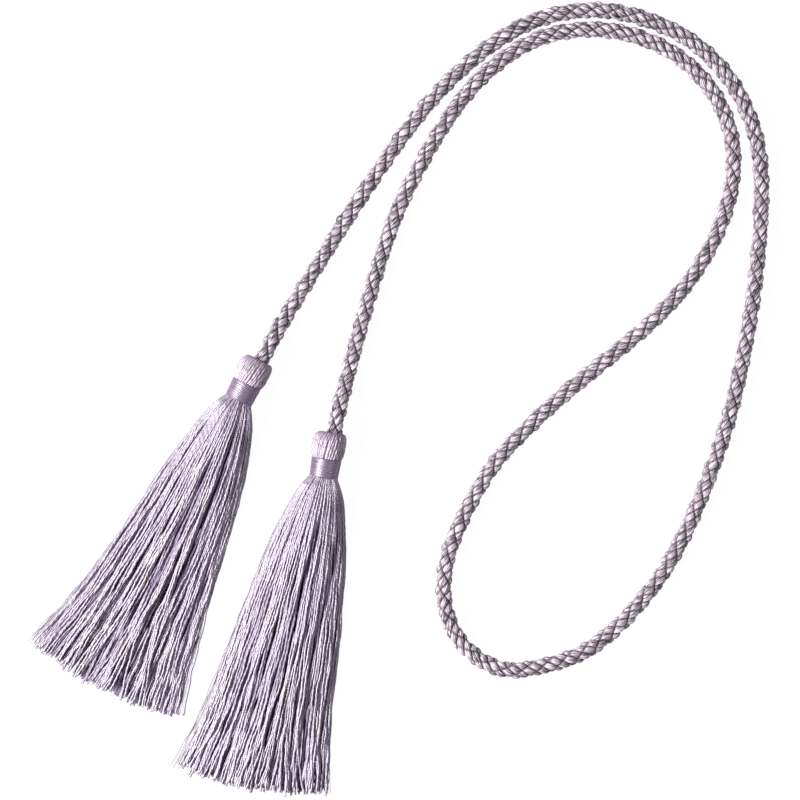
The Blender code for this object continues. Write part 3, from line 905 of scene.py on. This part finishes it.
def fibre_group():
    """Fine fibres along a strand: a colour that varies with them, with painted shade in hollows, and their
    height.
    """
    group = bpy.data.node_groups.get("Fine fibres")
    if group:
        return group
    group, given, result = add_group(
        "Fine fibres",
        (
            ("Colour", "NodeSocketColor", (0.4, 0.35, 0.42, 1.0)),
            ("Fibres across", "NodeSocketFloat", 9.0),
            ("Change along", "NodeSocketFloat", 0.8),
            ("Contrast", "NodeSocketFloat", 0.35),
            ("Strand contrast", "NodeSocketFloat", 0.2),
            ("Painted shade colour", "NodeSocketColor", (0.08, 0.05, 0.08, 1.0)),
            ("Hollow reach", "NodeSocketFloat", 0.5),
            ("Groove", "NodeSocketFloat", 0.0),
        ),
        (("Colour", "NodeSocketColor"), ("Height", "NodeSocketFloat"), ("Depth", "NodeSocketFloat")),
    )
    strand = add_node(group, "ShaderNodeAttribute", attribute_name="strand").outputs["Vector"]
    parts = add_node(group, "ShaderNodeSeparateXYZ", {0: strand}).outputs
    across = math_node(group, "MULTIPLY", parts[0], given["Fibres across"])
    along = math_node(group, "MULTIPLY", parts[1], given["Change along"])
    apart = math_node(group, "MULTIPLY", parts[2], STRANDS_APART)
    where = add_node(group, "ShaderNodeCombineXYZ", {0: across, 1: along, 2: apart}).outputs[0]
    noise = add_node(group, "ShaderNodeTexNoise", {"Vector": where, "Scale": 1.0, "Detail": 2.0})
    streak = math_node(group, "MULTIPLY", math_node(group, "SUBTRACT", noise.outputs["Fac"], 0.5), 2.0)
    hollow = add_node(group, "ShaderNodeAttribute", attribute_name="hollow").outputs["Fac"]
    own = math_node(group, "FRACT", math_node(group, "MULTIPLY", parts[2], LIGHTNESS_APART))
    own = math_node(group, "SUBTRACT", own, 0.5)
    lightness = math_node(group, "MULTIPLY_ADD", streak, given["Contrast"], 1.0)
    lightness = math_node(group, "MULTIPLY_ADD", own, given["Strand contrast"], lightness)
    # Painted shade: the colour is mixed towards the painted shade colour in hollows and in ply grooves
    depth = math_node(group, "POWER", hollow, PAINTED_SHADE_POWER)
    depth = math_node(group, "MULTIPLY", depth, given["Hollow reach"])
    depth = math_node(group, "MAXIMUM", depth, given["Groove"])
    lit = {0: given["Colour"], "Scale": lightness}
    colour = add_node(group, "ShaderNodeVectorMath", lit, operation="SCALE")
    both = {0: depth, 6: colour.outputs[0], 7: given["Painted shade colour"]}
    mixed = add_node(group, "ShaderNodeMix", both, data_type="RGBA")
    group.links.new(mixed.outputs[2], result["Colour"])
    group.links.new(streak, result["Height"])
    group.links.new(depth, result["Depth"])
    return group


def ply_group():
    """The height of plies that lie side by side in a strand."""
    group = bpy.data.node_groups.get("Plies")
    if group:
        return group
    inputs, outputs = (("Plies", "NodeSocketFloat", 2.0),), (("Height", "NodeSocketFloat"),)
    group, given, result = add_group("Plies", inputs, outputs)
    strand = add_node(group, "ShaderNodeAttribute", attribute_name="strand").outputs["Vector"]
    across = add_node(group, "ShaderNodeSeparateXYZ", {0: strand}).outputs[0]
    turned = math_node(group, "MULTIPLY", math_node(group, "MULTIPLY", across, given["Plies"]), math.pi)
    group.links.new(math_node(group, "ABSOLUTE", math_node(group, "COSINE", turned)), result["Height"])
    return group


def add_textile(name, colour, textile):
    """A fibre material."""
    material = bpy.data.materials.get(name)
    if material:
        return material
    material = bpy.data.materials.new(name)
    material.use_nodes = True
    tree = material.node_tree
    shader = tree.nodes["Principled BSDF"]
    fibre = add_node(tree, "ShaderNodeGroup", node_tree=fibre_group())
    fibre.inputs["Colour"].default_value = colour
    for label, value in zip(FIBRE_INPUTS, textile):
        fibre.inputs[label].default_value = value
    tree.links.new(fibre.outputs["Colour"], shader.inputs["Base Color"])
    surface = {"Height": fibre.outputs["Height"], "Strength": 0.5, "Distance": textile.bump}
    normal = add_node(tree, "ShaderNodeBump", surface).outputs[0]
    if textile.plies:
        wave = add_node(tree, "ShaderNodeGroup", node_tree=ply_group())
        wave.inputs["Plies"].default_value = textile.plies
        height = wave.outputs["Height"]
        surface = {"Height": height, "Normal": normal, "Strength": 1.0, "Distance": textile.ply_height}
        normal = add_node(tree, "ShaderNodeBump", surface).outputs[0]
        # Painted shade in the grooves between the plies
        low = math_node(tree, "SUBTRACT", 1.0, height)
        tree.links.new(math_node(tree, "MULTIPLY", low, textile.ply_dark), fibre.inputs["Groove"])
    tree.links.new(normal, shader.inputs["Normal"])
    matt = math_node(tree, "MULTIPLY_ADD", fibre.outputs["Depth"], PAINTED_SHADE_ROUGHER, textile.roughness)
    matt = math_node(tree, "MULTIPLY_ADD", fibre.outputs["Height"], textile.gloss, matt)
    tree.links.new(matt, shader.inputs["Roughness"])
    shader.inputs["IOR"].default_value = textile.ior
    shader.inputs["Specular IOR Level"].default_value = 1.0
    return material


def cord_yarn(settings):
    """The cord's lustrous yarn: four plies in each strand, and painted shade as a dark outline round each
    grain.
    """
    textile = Textile(
        across=6.0, along=0.7, contrast=2.8, strands=0.35, hollow=(0.012, 0.002, 0.008, 1.0), reach=1.0,
        roughness=0.37, ior=1.5, bump=0.0004, plies=4, ply_height=0.00018, ply_dark=0.30,
    )
    return add_textile("cord yarn", settings.colour, textile)


def tassel_yarn(settings):
    """The skirts' glossy yarn, twisted from two plies, with purple shade painted in the gaps between the
    yarns.
    """
    textile = Textile(
        across=5.0, along=0.25, contrast=0.14, strands=0.30, hollow=(0.090, 0.045, 0.145, 1.0), reach=0.9,
        roughness=0.38, ior=1.8, bump=0.00004, plies=2, ply_height=0.00007, ply_dark=0.5,
    )
    return add_textile("tassel yarn", settings.colour, textile)


def head_yarn(settings):
    """The same yarn where it is folded tight over a cord's end, painted lighter for the light that falls on
    the heads.
    """
    textile = Textile(
        across=4.0, along=0.25, contrast=0.14, strands=0.25, hollow=(0.100, 0.045, 0.115, 1.0), reach=0.7,
        roughness=0.42, ior=1.7, bump=0.00003, plies=2, ply_height=0.00005, ply_dark=0.26,
    )
    # Painted light: the skirts' colour made lighter for the heads
    colour = [shade * more for shade, more in zip(settings.colour, HEAD_PAINTED_LIGHT)]
    return add_textile("head yarn", colour, textile)


def binding_thread(settings):
    """Fine smooth thread, whose turns are the mesh's own."""
    textile = Textile(
        across=1.4, along=0.10, contrast=0.60, strands=0.0, hollow=(0.08, 0.05, 0.10, 1.0), reach=0.6,
        roughness=0.41, ior=1.8, bump=0.00002, gloss=0.15,
    )
    return add_textile("binding thread", settings.colour, textile)


# Operators


class TIEBACK_OT_stage(bpy.types.Operator):
    """Add the camera, the tabletop and the soft studio light"""

    bl_idname = "tieback.stage"
    bl_label = "Stage"

    def execute(self, context):
        settings = context.scene.tieback_stage
        self.add_camera(context)
        self.add_floor(settings)
        self.add_light("key", settings.key, *KEY_LIGHT)
        self.add_light("fill", settings.fill, *FILL_LIGHT)
        self.add_world()
        context.scene.view_settings.view_transform = "Standard"
        return {"FINISHED"}

    def add_camera(self, context):
        data = bpy.data.cameras.new("camera")
        data.lens, data.sensor_width = LENS, SENSOR
        data.clip_start, data.clip_end = 0.01, 20.0
        camera = bpy.data.objects.new("camera", data)
        camera.location = CAMERA_AT
        context.scene.collection.objects.link(camera)
        context.scene.camera = camera

    def add_floor(self, settings):
        corners = FLOOR_SIZE / 2 * np.array([(-1, -1, 0.0), (1, -1, 0.0), (1, 1, 0.0), (-1, 1, 0.0)])
        material = bpy.data.materials.new("tabletop")
        material.use_nodes = True
        tree = material.node_tree
        shader = tree.nodes["Principled BSDF"]
        shader.inputs["Base Color"].default_value = settings.colour
        shader.inputs["Roughness"].default_value = 0.9
        seen = add_node(tree, "ShaderNodeEmission", {"Color": WHITE, "Strength": FLOOR_SEEN})
        shaded = add_node(tree, "ShaderNodeBsdfDiffuse", {"Color": FLOOR_SHADED})
        both = add_node(tree, "ShaderNodeAddShader", {0: seen.outputs[0], 1: shaded.outputs[0]})
        self.mix_for_camera(tree, "Material Output", shader, both)
        add_piece("tabletop", material, corners, (np.array([[0, 1, 2, 3]]),))

    def mix_for_camera(self, tree, output, unseen, seen):
        """One shader for what the camera sees directly, and another for the light that falls on the part."""
        direct = add_node(tree, "ShaderNodeLightPath").outputs["Is Camera Ray"]
        mix = add_node(tree, "ShaderNodeMixShader", {0: direct, 1: unseen.outputs[0], 2: seen.outputs[0]})
        tree.links.new(mix.outputs[0], tree.nodes[output].inputs["Surface"])

    def add_light(self, name, power, place_at, wide, high):
        data = bpy.data.lights.new(name, "AREA")
        data.shape = "RECTANGLE"
        data.energy, data.size, data.size_y = power, wide, high
        light = bpy.data.objects.new(name, data)
        light.location = place_at
        x, y, z = np.array(LIGHTS_AIM) - np.array(place_at)
        light.rotation_euler = (math.atan2(math.hypot(x, y), -z), 0.0, math.atan2(y, x) - math.pi / 2)
        bpy.context.scene.collection.objects.link(light)

    def add_world(self):
        world = bpy.data.worlds.new("studio")
        world.use_nodes = True
        bpy.context.scene.world = world
        tree = world.node_tree
        around = tree.nodes["Background"]
        around.inputs["Color"].default_value = AROUND_COLOUR
        around.inputs["Strength"].default_value = AROUND_STRENGTH
        seen = add_node(tree, "ShaderNodeBackground", {"Color": WHITE, "Strength": 1.0})
        self.mix_for_camera(tree, "World Output", around, seen)


class TIEBACK_OT_cord(bpy.types.Operator):
    """Braid the cord along its route"""

    bl_idname = "tieback.cord"
    bl_label = "Cord"

    def execute(self, context):
        settings = context.scene.tieback_cord
        material = cord_yarn(settings)
        cord = add_piece("cord_braid", material, *close_ends(*braid(settings)))
        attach(cord, "root")
        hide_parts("cord")
        path, travelled = cord_points(CORD_PATH_STEPS, settings.diameter / 2)
        return {"FINISHED"}


class TIEBACK_OT_skirts(bpy.types.Operator):
    """Lay the skirts, yarn by yarn"""

    bl_idname = "tieback.skirts"
    bl_label = "Skirts"

    def execute(self, context):
        settings, yarn = context.scene.tieback_skirt, context.scene.tieback_yarn
        material = tassel_yarn(yarn)
        for name, x, y, turn, seed in TASSELS:
            top, under = Skirt(name, seed, settings, yarn).parts()
            for label, parts in (("top", top), ("under", under)):
                piece = add_piece(f"skirt_{name}_{label}", material, *join_parts(parts))
                place(piece, x, y, turn)
                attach(piece, "root")
                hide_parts(f"hank_{name}")
        return {"FINISHED"}


class TIEBACK_OT_heads(bpy.types.Operator):
    """Fold the yarns of the heads over the cord's ends"""

    bl_idname = "tieback.heads"
    bl_label = "Heads"

    def execute(self, context):
        settings, yarn = context.scene.tieback_head, context.scene.tieback_yarn
        material = head_yarn(yarn)
        for name, x, y, turn, seed in TASSELS:
            rng = np.random.default_rng(seed + 40)
            parts = (
                head_core(),
                head_yarns(rng, yarn, settings.yarns, *HEAD_UNDER),
                head_yarns(rng, yarn, settings.over, *HEAD_OVER),
            )
            head = add_piece(f"head_{name}", material, *join_parts(parts))
            place(head, x, y, turn)
            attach(head, "root")
            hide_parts(f"hank_{name}")
        return {"FINISHED"}


class TIEBACK_OT_bindings(bpy.types.Operator):
    """Wind the thread round the necks"""

    bl_idname = "tieback.bindings"
    bl_label = "Bindings"

    def execute(self, context):
        settings = context.scene.tieback_binding
        material = binding_thread(settings)
        for name, x, y, turn, seed in TASSELS:
            rng = np.random.default_rng(seed + 80)
            binding = add_piece(f"winding_{name}", material, *wound_thread(settings, rng))
            place(binding, x, y, turn)
            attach(binding, "root")
            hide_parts(f"binding_{name}")
        return {"FINISHED"}


class TIEBACK_PT_sidebar(bpy.types.Panel):
    """Sizes and colours of the tieback, and what makes each piece"""

    bl_idname = "TIEBACK_PT_sidebar"
    bl_label = "Curtain tieback"
    bl_space_type = "VIEW_3D"
    bl_region_type = "UI"
    bl_category = "Tieback"

    def draw(self, context):
        for label, settings_name, operators in SECTIONS:
            box = self.layout.box()
            box.label(text=label)
            settings = getattr(context.scene, settings_name)
            for field in settings.bl_rna.properties:
                if field.identifier not in ("rna_type", "name"):
                    box.prop(settings, field.identifier)
            for operator in operators:
                box.operator(operator)


SETTINGS = (
    ("tieback_stage", StageSettings),
    ("tieback_cord", CordSettings),
    ("tieback_yarn", YarnSettings),
    ("tieback_skirt", SkirtSettings),
    ("tieback_head", HeadSettings),
    ("tieback_binding", BindingSettings),
)
OPERATORS = (TIEBACK_OT_stage, TIEBACK_OT_cord, TIEBACK_OT_skirts, TIEBACK_OT_heads, TIEBACK_OT_bindings)
SECTIONS = (
    ("Stage", "tieback_stage", ("tieback.stage",)),
    ("Cord", "tieback_cord", ("tieback.cord",)),
    ("Yarn", "tieback_yarn", ()),
    ("Skirts", "tieback_skirt", ("tieback.skirts",)),
    ("Heads", "tieback_head", ("tieback.heads",)),
    ("Bindings", "tieback_binding", ("tieback.bindings",)),
)


def register():
    for name, settings in SETTINGS:
        bpy.utils.register_class(settings)
        setattr(bpy.types.Scene, name, bpy.props.PointerProperty(type=settings))
    for made in (*OPERATORS, TIEBACK_PT_sidebar):
        bpy.utils.register_class(made)


def unregister():
    for made in (TIEBACK_PT_sidebar, *reversed(OPERATORS)):
        bpy.utils.unregister_class(made)
    for name, settings in reversed(SETTINGS):
        delattr(bpy.types.Scene, name)
        bpy.utils.unregister_class(settings)


def main():
    register()
    bpy.ops.tieback.stage()
    bpy.ops.tieback.cord()
    bpy.ops.tieback.skirts()
    bpy.ops.tieback.heads()
    bpy.ops.tieback.bindings()


if __name__ == "__main__":
    main()
